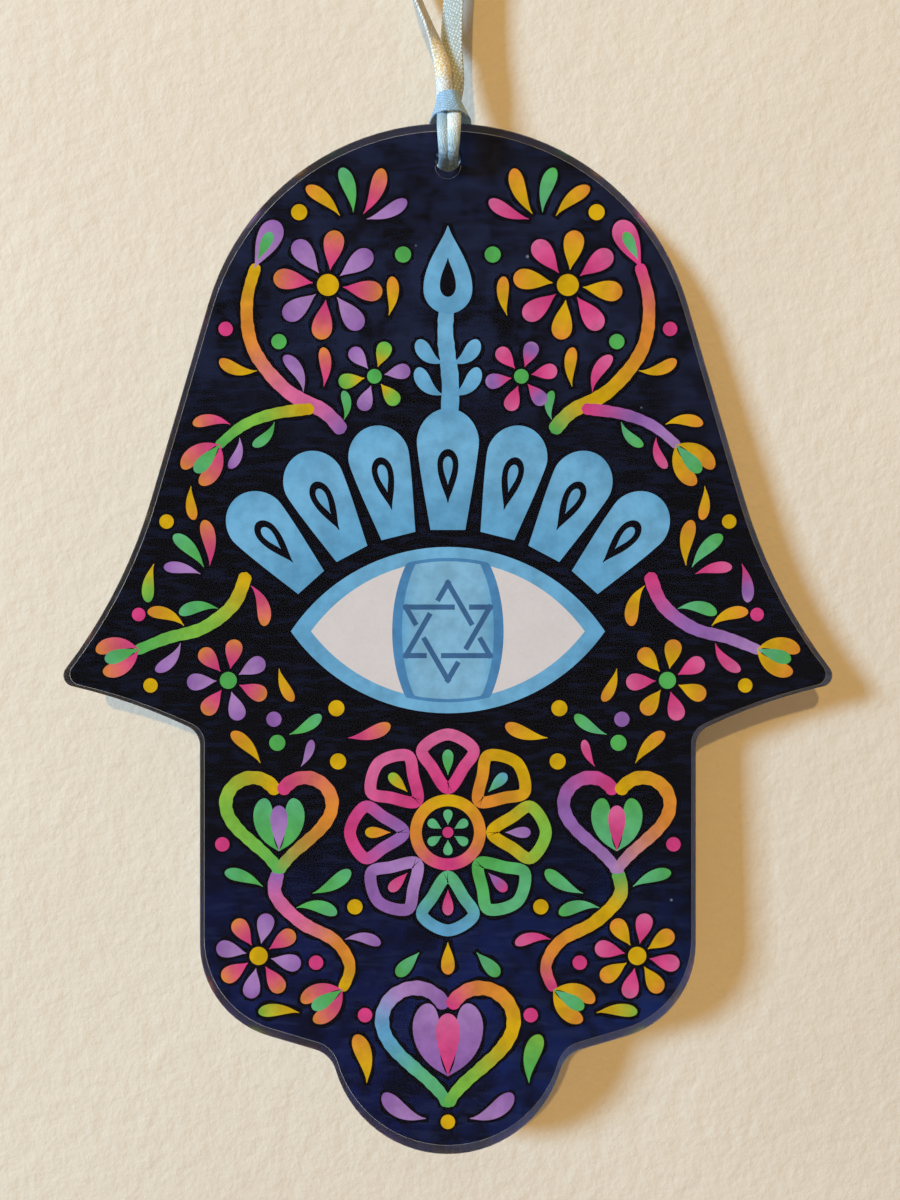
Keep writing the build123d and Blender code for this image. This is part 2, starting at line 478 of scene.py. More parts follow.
left_points = [
    (-0.25, -0.75, -44.9), (-0.20, -0.72, -42.8), (0.0, -0.45, -40.7), (-0.75, 0.30, -37.9),
    (-2.30, 1.20, -34.2), (-4.30, 2.00, -29.0), (-5.60, 2.20, -22.0), (-5.20, 1.60, -15.0),
    (-3.46, 0.70, -8.0), (-1.50, 0.0, 0.0), (-0.30, 0.0, 3.1),
]
left_turns = [
    (0, 5), (0.04, 12), (0.075, 32), (0.11, 45), (0.15, 54), (0.2, 61), (0.5, 70),
    (0.93, 90), (1, 90),
]
left_curls = [
    (0, 3.6), (0.04, 3.5), (0.075, 3.2), (0.11, 2.7), (0.15, 1.9), (0.2, 1.0), (0.5, 0.5),
    (0.9, 0.15), (1, 0.3),
]
right_points = [
    (0.30, 0.0, -44.9), (0.47, 0.50, -42.9), (0.24, 1.20, -38.6), (0.33, 1.65, -34.3),
    (0.85, 2.00, -27.0), (1.60, 1.90, -18.0), (1.80, 1.00, -9.0), (1.50, 0.0, 0.0),
    (0.30, 0.0, 3.1),
]
right_turns = [(0, 5), (0.08, -28), (0.3, -40), (0.93, -90), (1, -90)]
right_curls = [(0, 3.6), (0.05, 2.6), (0.14, 1.0), (0.4, 0.7), (0.9, 0.15), (1, 0.3)]
make_tail("left_tail", left_points, left_turns, left_curls, satin_front_tail)
make_tail("right_tail", right_points, right_turns, right_curls, satin_tail)

# %% [markdown]
# ## The hitch
# The middle of the ribbon is hitched through the hole. Both strands come up the front from the
# hole, folded lengthwise, pass under the wrap and go on as the tails. The wrap is the ribbon's
# bight: it lies across the front of the strands, and its two sides go back over the plate's top
# edge and down to the hole from behind. Its lower edge is arched, and it rises a little more at
# the sides, so that the plate's edge passes under it when the hand turns.

# %% Strands through the hole
behind_the_plate = [(0.5, 1.0, -52.5), (0.5, 2.25, -52.0), (0.55, 2.45, -50.2), (0.6, 2.45, -48.4),
                    (0.8, 2.2, -46.9)]
strand_squeeze = [(0, 0.8), (0.12, 0.62), (0.4, 0.55), (0.52, 0.6), (0.7, 0.5), (1, 0.5)]


def make_strand(name, side, points, curl, width, cloth):
    """One folded strand, from under the wrap, down the front, through the hole and up the back."""
    line = route_line(points + [(side * x, y, z) for x, y, z in behind_the_plate], gap=0.15)
    mesh = lay_ribbon(line, lambda s: Vector((1, 0, 0)), lambda s: curl / ramp(s, width),
                      lambda s: -ramp(s, strand_squeeze))
    new_piece(name + "_folded", mesh, cloth, "hitch", name)
    print(name, "has", len(line) - 1, "steps")


make_strand("left_strand", -1, [
    (-0.35, -0.4, -43.6), (-0.42, -1.2, -44.9), (-0.52, -2.08, -46.3), (-0.56, -2.32, -48.0),
    (-0.50, -2.2, -50.2), (-0.40, -2.0, -52.1), (-0.46, -0.5, -52.6),
], curl=5.4, width=[(0, 1.0), (0.3, 1.1), (0.5, 0.92), (0.7, 1.0), (1, 1.0)],
    cloth=satin_painted_shade_strand)
make_strand("right_strand", 1, [
    (0.35, -0.2, -43.6), (0.56, -1.3, -44.9), (0.68, -2.24, -46.3), (0.72, -2.52, -48.0),
    (0.66, -2.35, -50.2), (0.54, -2.05, -52.1), (0.5, -0.5, -52.6),
], curl=4.6, width=[(0, 0.8), (0.25, 1.12), (0.5, 0.85), (0.7, 1.0), (1, 1.0)],
    cloth=satin_strand)

# %% [markdown]
# The wrap is a band round the neck, made in one patch: the angle goes round it, from the back on
# one side over the front to the back on the other, and the other direction goes down it. It is
# narrow at the top, where it grips the strands, and flares over the plate's edge.

# %% Wrap
neck_z, rim_z = -44.25, -47.25


def wrap_point(angle, down, off):
    """A point of the wrap, this far outwards from the middle of its cloth."""
    flare = down ** 1.15
    fold = 0.05 * math.sin(3.2 * angle + 1.9 * down) + 0.03 * math.sin(9 * angle - 3 * down)
    half_x = 1.2 + 1.12 * flare + off
    half_y = 1.15 + 1.62 * flare + off
    top = neck_z - 0.35 * (1 - (1 + math.cos(angle)) / 2)
    foot = rim_z + 0.12 * abs(math.sin(angle))
    x = 0.10 + 0.20 * down + (half_x + fold) * math.sin(angle)
    y = -0.42 + 0.55 * flare - (half_y + fold) * math.cos(angle)
    return Vector((x, y, top + (foot - top) * down)) * mm


def make_wrap(rows=16, columns=72, round_to=152, half_cloth=0.14):
    """The bight of the ribbon over the front of the strands, flaring back over the plate's edge."""
    verts, places, faces = [], [], []
    for off in (half_cloth, -half_cloth):
        for row in range(rows + 1):
            down = row / rows
            for column in range(columns + 1):
                angle = math.radians(round_to * (2 * column / columns - 1))
                verts.append(wrap_point(angle, down, off))
                places.append((2.9 * down - 1.45, angle * 2))
    wide, size = columns + 1, len(verts) // 2
    for row in range(rows):
        for column in range(columns):
            a = row * wide + column
            outer = (a, a + wide, a + wide + 1, a + 1)
            faces += [outer, tuple(size + n for n in outer[::-1])]
    rim = list(range(wide)) + [row * wide + columns for row in range(1, rows + 1)]
    rim += [rows * wide + column for column in range(columns - 1, -1, -1)]
    rim += [row * wide for row in range(rows - 1, 0, -1)]
    faces += [(a, b, size + b, size + a) for a, b in zip(rim, rim[1:] + rim[:1])]
    mesh = woven_mesh(verts, faces, places)
    new_piece("ribbon_bight", mesh, satin_wrap, "hitch", "ribbon_wrap")
    print("wrap faces", len(mesh.polygons))


make_wrap()

# %% [markdown]
# ## The knot and the cut ends
# Above the nail both tails lie face to face and turn once round their own standing part, in an
# overhand knot. The photograph stops below it, so this is the plainest way to close such a loop.
# The ribbon is cut straight across, a little askew, above the knot.

# %% Knot
knot_points = [
    (0, 0, 2.9), (0.15, 0.3, 4.2), (0.5, 0.8, 5.9), (1.3, 0.7, 7.5), (2.2, -0.5, 7.2),
    (1.3, -1.75, 5.9), (-0.9, -1.7, 5.0), (-2.2, -0.3, 5.0), (-1.6, 1.5, 5.6), (0.3, 1.95, 5.7),
    (1.9, 1.2, 4.9), (1.6, -0.5, 4.3), (0.5, -0.95, 5.2), (0.1, -0.5, 7.2), (0, 0, 8.7),
]
knot_curls = [(0, 0.4), (0.2, 1.3), (0.8, 1.3), (1, 0.4)]
layer_shift = 0.17


def make_knot():
    """Two layers of ribbon, one beside the other, along the same overhand turn."""
    line = route_line(knot_points, gap=0.2)
    first = Vector((0, -1, 0))
    ways, way = [], first
    for number in range(len(line)):
        way = square_to(heading(line, number), way)
        ways.append(way)
    last = ways[-1].angle(first)
    turn = last if ways[-1].cross(first).z > 0 else -last

    def across(share):
        """The carried way, turned little by little until it ends as it began."""
        number = round(share * (len(line) - 1))
        way, angle = ways[number], turn * share
        return way * math.cos(angle) + heading(line, number).cross(way) * math.sin(angle)

    verts, faces, places = [], [], []
    for shift in (-layer_shift, layer_shift):
        layer = lay_ribbon(line, across, lambda s: ramp(s, knot_curls), shift=shift)
        base = len(verts)
        verts += [v.co.copy() for v in layer.vertices]
        faces += [tuple(base + n for n in face.vertices) for face in layer.polygons]
        spots = {c.vertex_index: tuple(layer.uv_layers[0].data[c.index].uv) for c in layer.loops}
        places += [spots[n] for n in range(len(layer.vertices))]
    mesh = woven_mesh(verts, faces, places)
    new_piece("overhand_knot", mesh, satin_tail, "loop", "top_knot")
    print("knot faces", len(mesh.polygons))


def make_end(name, side):
    """One cut end, which leans outwards and curls a little, with its top cut askew."""
    points = [(0.3, 0, 8.4), (0.9, -0.1, 11), (2.1, 0.2, 14.2), (3, 0.1, 17.4)]
    line = route_line([(side * x, y, z) for x, y, z in points], gap=0.125)
    mesh = lay_ribbon(line, lambda s: turned(-90 + side * 16 * s), lambda s: 0.5 + 0.5 * s)
    for vert in mesh.vertices:
        near_top = max(0.0, (vert.co.z / mm - 16.2) / 1.2)
        vert.co.z += near_top * (vert.co.y * side * 0.35 - 0.3 * mm)
    new_piece(name + "_cut", mesh, satin_tail, "loop", name)
    print(name, "has", len(line) - 1, "steps")


make_knot()
make_end("left_end", -1)
make_end("right_end", 1)

# %% [markdown]
# ## The clear plate
# Acrylic is glass to Blender with a lower index of refraction, 1.49. Real glass in front of a print
# would leave the print noisy and dark, because lamps are hard to find through it, so rays from
# lamps and rays that the print scatters pass straight through, by Light Path. The camera's own rays
# still bend, and the plate's side wall shows the dark print by total reflection. The wall was cut
# by a laser, which leaves it a little frosted, with fine lines from front to back, and the faces
# have a few faint smears. The drilled wall of the hole is clear, and it and its broken edge are
# tinted darker with painted shade.

# %% Clear acrylic
acrylic_index = 1.49
hole_z = -52.15


def clear_acrylic():
    made, start = new_material("clear_acrylic")
    place = own_place(start)
    across, height = place.part(0), place.part(2)
    facing = abs(start.node("NewGeometry", (), (), "Normal").part(1))
    wall = 1 - facing.between(0.3, 0.7)
    cut_lines = place.stretched(1, 0.06, 1).noise(2600, 3)
    smear = place.noise(60, 6, Distortion=1.2)
    in_hole = 1 - abs(across).between(2 * mm, 3 * mm)
    in_hole = in_hole * height.between((hole_z - 2.85) * mm, (hole_z - 2.35) * mm)
    in_hole = in_hole * (1 - height.between((hole_z + 2.45) * mm, (hole_z + 2.95) * mm))
    frosted = wall * (1 - in_hole)
    # Painted shade: the wall of the hole and its broken edge are tinted darker.
    rim = in_hole * (1 - facing.between(0.75, 0.95))
    glass = start.principled(
        Base_Color=rim.blend_with(paint(0.985, 0.99, 0.995), paint(0.52, 0.52, 0.56)),
        Roughness=smear.between(0.5, 0.85) * 0.02 + frosted * 0.30 + 0.015,
        IOR=acrylic_index,
        Specular_Tint=(0.25, 0.27, 0.36, 1),
        Transmission_Weight=1.0,
        Normal=(cut_lines * wall).bump(0.35, 0.03),
    )
    milky = start.principled(Base_Color=paint(0.74, 0.70, 0.72), Roughness=0.6)
    frost = frosted * (cut_lines.between(0.3, 0.7) * 0.05 + 0.07)
    cut = start.node("MixShader", (), {0: frost, 1: glass, 2: milky})
    clear = start.node("BsdfTransparent", (), {"Color": (1, 1, 1, 1)})
    ray = start.node("LightPath", (), (), "Is Shadow Ray")
    let_through = ray.maths("MAXIMUM", ray, start.node("LightPath", (), (), "Is Diffuse Ray"))
    cover(start, start.node("MixShader", (), {0: let_through, 1: cut, 2: clear}))
    return made


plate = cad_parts["acrylic_plate"]
plate.data.materials.clear()
plate.data.materials.append(clear_acrylic())
print("plate", [round(side, 4) for side in plate_high - plate_low])

# %% [markdown]
# ## The print and its backing
# The print is glued to the plate, so no air shows between them. Where two surfaces lie in exactly
# the same place, a renderer can't tell which comes first, so each sheet here is a copy of the solid
# one with its front moved about a hundredth of a millimetre into the acrylic. The ground is painted
# in watercolour: blacks and navy blues that run into each other, with the marks of the brush over
# them, and a few specks of dust that were caught in the glue. The backing is a plain pale vinyl.

# %% Print ground and backing
def speck_mask(place, scale, size):
    """Small round specks, one in some cells of a grid that nothing shows."""
    kind, settings, inputs = "TexVoronoi", {"feature": "F1"}, {"Vector": place, "Scale": scale}
    cell = place.node(kind, settings, inputs, "Distance")
    chance = place.node(kind, settings, inputs, "Color").part(0)
    return (1 - cell.between(size * 0.5, size)) * chance.between(0.74, 0.76)


def print_ground():
    made, start = new_material("printed_night_ground")
    place = own_place(start)
    across, height = place.part(0), place.part(2)
    wash = place.noise(85, 4, Distortion=0.8)
    pool = place.noise(330, 5)
    strokes = place.stretched(0.35, 1, 1.6).noise(900, 5, Distortion=0.4)
    # Darker across the middle of the hand, between the top and the foot: partly the print's own
    # blacks, partly a painted dark reflection of what stands in front of the plate.
    low_blue = 1 - height.between(-150 * mm, -128 * mm)
    top_blue = height.between(-92 * mm, -70 * mm)
    wet = wash.between(0.38, 0.60) * 0.5 + pool.between(0.42, 0.60) * 0.5
    top = (wet * top_blue).blend_with(paint(0.030, 0.033, 0.052), paint(0.105, 0.13, 0.225))
    to_right = across.between(-10 * mm, 22 * mm)
    low = to_right.blend_with(paint(0.07, 0.105, 0.29), paint(0.065, 0.135, 0.335))
    ground = ((wet * 0.85 + 0.15) * low_blue).blend_with(top, low)
    marks = strokes.between(0.46, 0.64) * (low_blue * 0.16 + 0.20)
    brushed = marks.blend_with(ground, paint(0.13, 0.17, 0.31))
    dust = speck_mask(place, scale=300.0, size=0.07)
    cover(start, start.principled(
        Base_Color=(dust * 0.6).blend_with(brushed, paint(0.55, 0.56, 0.60)),
        Roughness=0.55 - strokes * 0.15,
        Specular_IOR_Level=0.0,
    ))
    return made


def backing_vinyl():
    made, start = new_material("pale_backing_vinyl")
    place = own_place(start)
    grain, cloud = place.noise(1500, 4), place.noise(45, 3).between(0.3, 0.7)
    cover(start, start.principled(
        Base_Color=cloud.blend_with(paint(0.82, 0.825, 0.83), paint(0.86, 0.86, 0.855)),
        Roughness=0.4 + grain * 0.2,
        Normal=grain.bump(0.25, 0.03),
    ))
    return made


def glued_sheet(name, material, sunk):
    """A copy of a solid sheet with its front sunk a little way into the acrylic."""
    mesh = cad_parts[name].data.copy()
    front = min(v.co.y for v in mesh.vertices)
    for vert in mesh.vertices:
        if vert.co.y < front + 0.01 * mm:
            vert.co.y = (back_face_y - sunk) * mm
    mesh.materials.clear()
    new_piece(name + "_glued", mesh, material, "plate", name, soft=False)


glued_sheet("printed_sheet", print_ground(), sunk=0.016)
glued_sheet("backing_sheet", backing_vinyl(), sunk=0.008)

# %% [markdown]
# ## Inks for the figure
# The inks run into each other along a stroke, so they go into a colour attribute of its mesh, and
# one material for all of them adds the mottling that water leaves in the paint.

# %% Inks
inks = {name: plain(*colour) for name, colour in {
    "pink": (0.86, 0.26, 0.52), "rose": (0.87, 0.42, 0.62), "orange": (0.89, 0.55, 0.20),
    "yellow": (0.86, 0.68, 0.06), "lime": (0.52, 0.75, 0.27), "green": (0.34, 0.70, 0.34),
    "mint": (0.38, 0.72, 0.50), "sky": (0.40, 0.66, 0.82), "pale_sky": (0.46, 0.71, 0.86),
    "iris": (0.53, 0.74, 0.86), "rim": (0.31, 0.54, 0.73), "steel": (0.25, 0.41, 0.58),
    "purple": (0.59, 0.40, 0.69), "lilac": (0.69, 0.52, 0.76), "white": (0.85, 0.82, 0.81),
    "night": (0.04, 0.04, 0.075),
}.items()}


def printed_ink():
    made, start = new_material("printed_ink")
    ink = start.node("Attribute", {"attribute_name": "ink"})
    place = own_place(start)
    cloud, grain = place.noise(420, 5, Roughness=0.6), place.noise(2600, 2)
    red, blue = (start.node("SeparateColor", (), {0: ink}, number) for number in (0, 2))
    whiteness = red.maths("MINIMUM", red, blue).between(0.50, 0.60)
    level = 1 - (1 - cloud.between(0.3, 0.7)) * (0.24 - whiteness * 0.20) - (1 - grain) * 0.10
    washed = start.node("VectorMath", {"operation": "SCALE"}, {0: ink, "Scale": level})
    cover(start, start.principled(
        Base_Color=washed, Roughness=0.5 + grain * 0.1, Specular_IOR_Level=0.0,
    ))
    return made


def run(names, share):
    """The ink at a share of the way along a stroke that runs from one ink to the next."""
    names = names.split()
    place = min(max(share, 0), 1) * (len(names) - 1)
    low = min(int(place), max(len(names) - 2, 0))
    high = min(low + 1, len(names) - 1)
    mix = (place - low) ** 2 * (3 - 2 * (place - low))
    return [a + (b - a) * mix for a, b in zip(inks[names[low]], inks[names[high]])]


def run_over(names, steps):
    """The inks at all steps of a shape."""
    return [run(names, number / steps) for number in range(steps + 1)]


ink_material = printed_ink()
print(len(inks), "inks in", ink_material.name)

# %% [markdown]
# ## Brushes
# Every painted shape is a thin sheet of its own, laid on the ground as a brush stroke is: a middle
# line, a width that swells and thins along it, and the inks on the way. A place on the hand is
# given by two numbers in millimetres: across from the middle line, and down from the top edge.

# %% Brushes
tip = 0.03  # half the width of a shape where it ends
same_place = 1e-6


def beside(x, d, angle, reach):
    """The place that is this far from another. Angle 0 is up and 90 is right."""
    return x + reach * math.sin(math.radians(angle)), d - reach * math.cos(math.radians(angle))


def is_open(line):
    """Whether a line ends away from where it starts."""
    return math.dist(line[0], line[-1]) > same_place


def smooth(points, steps=10, closed=False):
    """A smooth line through points."""
    count, line = len(points), []
    for number in range(count if closed else count - 1):
        near = [number + k if not closed else (number + k) % count for k in (-1, 0, 1, 2)]
        a, b, c, d = (points[min(max(k, 0), count - 1)] for k in near)
        for step in range(steps):
            t = step / steps
            line.append(tuple(
                q + 0.5 * t * (r - p + t * (2 * p - 5 * q + 4 * r - s + t * (3 * (q - r) + s - p)))
                for p, q, r, s in zip(a, b, c, d)
            ))
    return line + [points[0] if closed else points[-1]]


def lay(line, halves, names):
    """One shape: two rails either side of a middle line, and the inks along it."""
    left, right = [], []
    before_first, after_last = (line[0], line[-1]) if is_open(line) else (line[-2], line[1])
    padded = [before_first] + line + [after_last]
    for behind, (x, d), ahead, half in zip(padded, line, padded[2:], halves):
        step = (ahead[0] - behind[0], ahead[1] - behind[1])
        size = math.hypot(*step) or 1
        off = (-step[1] / size * half, step[0] / size * half)
        left.append((x + off[0], d + off[1]))
        right.append((x - off[0], d - off[1]))
    return left, right, run_over(names, len(line) - 1)


def brush(points, width, names, thin=0.5):
    """A brush stroke with round ends and an uneven edge, which thins on its way."""
    line = smooth(points)
    lengths = [0]
    for a, b in zip(line, line[1:]):
        lengths.append(lengths[-1] + math.dist(a, b))
    halves = []
    for reach in lengths:
        half = width / 2 * (1 - (1 - thin) * (reach / lengths[-1]) ** 2)
        half *= 1 + 0.035 * math.sin(4.7 * reach) + 0.03 * math.sin(1.9 * reach + line[0][0])
        end = min(reach, lengths[-1] - reach)
        halves.append(max(half * math.sqrt(max(0, 1 - (1 - min(end / half, 1)) ** 2)), tip))
    return lay(line, halves, names)


def hoop(points, width, names, steps=8):
    """A closed stroke of one width through points."""
    line = smooth(points, steps, closed=True)
    return lay(line, [width / 2] * len(line), names)


def drop(x, d, angle, length, width, names, bend=0.0):
    """A drop with its point at a place, which points away from it."""
    steps, belly, line, halves = 18, 0.72, [], []
    for step in range(steps + 1):
        t = math.sin(math.pi / 2 * step / steps)
        line.append(beside(x, d, angle + bend * (t - 0.5), length * t))
        if t < belly:
            half = math.sin(t / belly * math.pi / 2) ** 1.2
        else:
            half = math.sqrt(max(0, 1 - ((t - belly) / (1 - belly)) ** 2))
        halves.append(max(width / 2 * half, tip))
    return lay(line, halves, names)


def dot(x, d, radius, names):
    """A round dot."""
    angles = [math.pi * step / 14 for step in range(15)]
    line = [(x - radius * math.cos(angle), d) for angle in angles]
    return lay(line, [max(radius * math.sin(angle), tip) for angle in angles], names)


def daisy(x, d, petals, inner, outer, width, names, centre, turn=0):
    """A flower of drops round a centre, with their points inwards."""
    shapes = []
    for number in range(petals):
        angle = turn + 360 * number / petals
        foot = beside(x, d, angle, inner)
        shapes.append(drop(*foot, angle, outer - inner, width, names[number % len(names)]))
    return shapes + [dot(x, d, inner * 0.72, centre)]


print("brushes: brush, hoop, drop, dot, daisy")

# %% [markdown]
# A shape lies a hair in front of the one before it, as on paper, and round each one the painter
# has gone over the ground once more with a darker paint. All of them are sunk into the back of the
# acrylic, because they are glued to it as the ground is.

# %% One printed piece
# How deep in the acrylic the dark paint and the shapes start, and the step from one to the next.
dark_layer, dark_step = 0.0172, 0.00004
first_layer, layer_step = 0.021, 0.0006
sheet_back = 0.05  # how far each shape reaches behind the plate


def outlined(shape, reach=0.42):
    """The darker paint that surrounds a shape: the same form, a little larger and less even."""
    left, right, tones = shape
    middles = [((a[0] + b[0]) / 2, (a[1] + b[1]) / 2) for a, b in zip(left, right)]
    pushes = [(0, 0)] * len(left)
    if is_open(left):
        for end, near in ((0, 1), (-1, -2)):
            away = [p - q for p, q in zip(middles[end], middles[near])]
            pushes[end] = [w / (math.hypot(*away) or 1) * reach * 0.8 for w in away]
    rails = ([], [])
    for a, b, middle, push in zip(left, right, middles, pushes):
        across = (a[0] - b[0], a[1] - b[1])
        size = math.hypot(*across)
        half = size / 2 + reach * (1 + 0.3 * math.sin(1.7 * middle[0] + 2.3 * middle[1]))
        for rail, hand in zip(rails, (1, -1)):
            rail.append(tuple(
                m + p + hand * w / (size or 1) * half for m, p, w in zip(middle, push, across)
            ))
    return *rails, [inks["night"]] * len(tones)


def print_figure(name, shapes):
    """One printed piece of shapes, each a thin closed sheet sunk into the back of the acrylic."""
    layered = [(outlined(shape), dark_layer + dark_step * n) for n, shape in enumerate(shapes)]
    layered += [(shape, first_layer + layer_step * n) for n, shape in enumerate(shapes)]
    verts, faces, colours = [], [], []
    for (left, right, tones), sunk in layered:
        base, count = len(verts), len(left)
        for y in (back_face_y - sunk, back_face_y + sheet_back):
            for rail in (left, right):
                verts += [Vector((x, y, top_z - d)) * mm for x, d in rail]
                colours += tones
        rows = [base + count * row for row in range(4)]
        for n in range(count - 1):
            for a, b in ((0, 1), (1, 3), (3, 2), (2, 0)):
                faces.append((rows[a] + n, rows[a] + n + 1, rows[b] + n + 1, rows[b] + n))
        if is_open(left):
            for n, order in ((0, 1), (count - 1, -1)):
                faces.append(tuple(rows[row] + n for row in (0, 1, 3, 2))[::order])
    mesh = bpy.data.meshes.new(name)
    mesh.from_pydata(verts, [], faces)
    layer = mesh.color_attributes.new("ink", "FLOAT_COLOR", "POINT")
    layer.data.foreach_set("color", [part for tone in colours for part in (*tone, 1)])
    face_outwards(mesh, join=1e-7)
    new_piece(name, mesh, ink_material, "plate", soft=False)
    print(name, len(shapes), "shapes")


print("shapes start", first_layer, "mm deep, in steps of", layer_step)

# %% [markdown]
# ## The eye
# The eye is the common almond of such charms: a blue rim, an off-white ball, and an iris that both
# lids cut. Both lids are arcs, so each shape is what lies between an upper and a lower line, taken
# in steps from side to side. The plain six-pointed star on the iris is two triangles that pass over
# and under each other, so each side has a small gap where it goes under.

# %% Eye
eye_d = 59.2


def lid(reach, rise, x):
    """How far an arc over a chord of half-length reach rises above it, at x."""
    radius = (reach**2 + rise**2) / (2 * rise)
    return math.sqrt(max(radius**2 - x**2, 0)) - (radius - rise)


def eye_shape(reach, top, bottom, limit, names, steps=48):
    """What lies between two lids and within a limit that depends on x."""
    rails = ([], [])
    for step in range(steps + 1):
        x = -reach * math.cos(math.pi * step / steps)
        for rail, arc, hand in zip(rails, (top, bottom), (-1, 1)):
            rail.append((x, eye_d + hand * max(min(lid(*arc, x), limit(x)), tip)))
    return *rails, run_over(names, steps)


def oval(half_x, half_d):
    return lambda x: half_d * math.sqrt(max(0, 1 - (x / half_x) ** 2))


def star(radius, width, gap=0.17):
    """Two interlaced triangles."""
    shapes = []
    for turn in (0, 180):
        corners = [beside(0, eye_d, turn + 120 * number, radius) for number in range(4)]
        for a, b in zip(corners, corners[1:]):
            for low, high in ((-0.03, 2 / 3 - gap / 2), (2 / 3 + gap / 2, 1.03)):
                ends = [tuple(p + (q - p) * share for p, q in zip(a, b)) for share in (low, high)]
                shapes.append(lay(ends, [width / 2] * 2, "steel"))
    return shapes


no_limit = oval(60, 60)
print_figure("printed_eye", [
    eye_shape(18.6, (18.6, 10.0), (18.6, 9.7), no_limit, "sky pale_sky sky"),
    eye_shape(16.2, (16.2, 8.35), (16.2, 8.05), no_limit, "white"),
    eye_shape(6.6, (16.9, 8.7), (16.9, 8.4), oval(6.6, 12.0), "rim"),
    eye_shape(5.45, (16.5, 8.3), (16.5, 8.0), oval(5.45, 11.2), "sky iris iris sky"),
] + star(radius=5.75, width=0.62))

# %% [markdown]
# ## The crown of rays
# Above the eye stands a fan of plain pale blue petals, like a crown, with a taller one in the
# middle that ends in a bud. Each petal is laid out round the centre of the upper lid's own arc, so
# the fan follows the eye. A darker drop in each petal lets the ground show.

# %% Crown
fan_d = 71.4


def ray(angle, low, high, half_angle, steps=24, shoulder=0.72):
    """One petal of the fan, from one radius to another."""
    rails = ([], [])
    for step in range(steps + 1):
        share = math.sin(math.pi / 2 * step / steps)
        swell = 0.80 + 0.20 * math.sin(math.pi * min(share / shoulder, 1) / 2)
        if share > shoulder:
            swell *= math.sqrt(max(0, 1 - ((share - shoulder) / (1 - shoulder)) ** 1.7))
        spread = max(half_angle * swell, 0.05)
        for rail, hand in zip(rails, (-1, 1)):
            rail.append(beside(0, fan_d, angle + hand * spread, low + (high - low) * share))
    return *rails, run_over("sky pale_sky sky", steps)


stem_inks = "sky pale_sky"
crown = [brush([(0, 36), (0.3, 30), (-0.3, 24), (0, 19.5)], 2.1, stem_inks, 0.8)]
for angle in (-42, -28, -14, 0, 14, 28, 42):
    crown.append(ray(angle, 24.3, 38.6 if angle == 0 else 37.6, 6.1))
    crown.append(drop(*beside(0, fan_d, angle, 27.4), angle, 6.4, 2.5, "night"))
    crown.append(drop(*beside(0, fan_d, angle, 29.6), angle, 3.3, 1.15, stem_inks))
crown.append(drop(0, 11.2, 180, 10.4, 5.8, "pale_sky sky"))
crown.append(drop(0, 15.0, 180, 4.6, 1.9, "night"))
for side in (-1, 1):
    crown.append(drop(side * 0.5, 27.4, side * 66, 4.0, 1.8, stem_inks, side * -40))
    crown.append(drop(side * 0.5, 31.2, side * 62, 4.4, 1.8, stem_inks, side * -40))
print_figure("printed_crown", crown)

# %% [markdown]
# ## Flowers, buds and leaves
# The rest of the hand is filled with plain folk motifs, the same on both sides but in other inks:
# daisies and tulips on curved stems in the dome, a tulip in each thumb, hearts and vines in the
# palm, a rose window below the eye and a heart at the foot. Small drops and dots fill what is left,
# so that the dark ground shows as an even net between the strokes.

# %% Motifs
def vine(side, points, width, names, leaves, leaf_inks):
    """A stem with drops for leaves. A leaf has its share of the stem, its hand and its length."""
    stem = [(side * x, d) for x, d in points]
    line = smooth(stem)
    shapes = []
    for number, (share, hand, length) in enumerate(leaves):
        place = round(share * (len(line) - 2))
        (x, d), (ahead_x, ahead_d) = line[place], line[place + 1]
        angle = math.degrees(math.atan2(ahead_x - x, d - ahead_d)) + hand * side * 50
        foot, ink = beside(x, d, angle, 1.25), leaf_inks[number % len(leaf_inks)]
        shapes.append(drop(*foot, angle, length, length * 0.32, ink, -hand * side * 30))
    return shapes + [brush(stem, width, names, 0.75)]


def heart(x, d, size, width, left_inks, right_inks):
    """A heart drawn as two strokes, from the notch round each side to the tip."""
    strokes = []
    for hand, names in ((-1, left_inks), (1, right_inks)):
        spots = []
        for step in range(13):
            t = 0.32 + (math.pi - 0.32) * step / 12
            up = 13 * math.cos(t) - 5 * math.cos(2 * t) - 2 * math.cos(3 * t) - math.cos(4 * t)
            spots.append((x + hand * math.sin(t) ** 3 * size / 2, d - up * size / 32))
        strokes.append(brush(spots, width, names, 0.8))
    return strokes


def tulip(x, d, angle, size, outer, inner):
    """Three petals that open from one foot."""
    petals = []
    for hand in (-1, 1):
        petals.append(drop(x, d, angle + hand * 32, size, size * 0.36, outer, hand * -36))
    return petals + [drop(x, d, angle, size * 0.84, size * 0.32, inner)]


def petal_loop(x, d, angle, inner, outer, spread, width, names):
    """An open petal of a rose window, drawn as one closed stroke."""
    spots = []
    for share, turn in ((0, 0), (0.42, -0.8), (0.8, -1), (1, 0), (0.8, 1), (0.42, 0.8)):
        spots.append(beside(x, d, angle + spread * turn, inner + (outer - inner) * share))
    return hoop(spots, width, names)


def drops(side, rows):
    """Single drops and dots: a place, then an angle and a length or just a radius, and an ink."""
    shapes = []
    for x, d, *rest, ink in rows:
        if len(rest) == 1:
            shapes.append(dot(side * x, d, rest[0], ink))
        else:
            angle, length = rest
            shapes.append(drop(side * x, d, side * angle, length, length * 0.31, ink, side * 16))
    return shapes


print("motifs: vine, heart, tulip, petal_loop, daisy, drops")

# %% [markdown]
# Both halves of the figure share their places and differ in their inks, so the places are written
# once and a loop goes over the two sides. The five sets of inks below are each side's own.

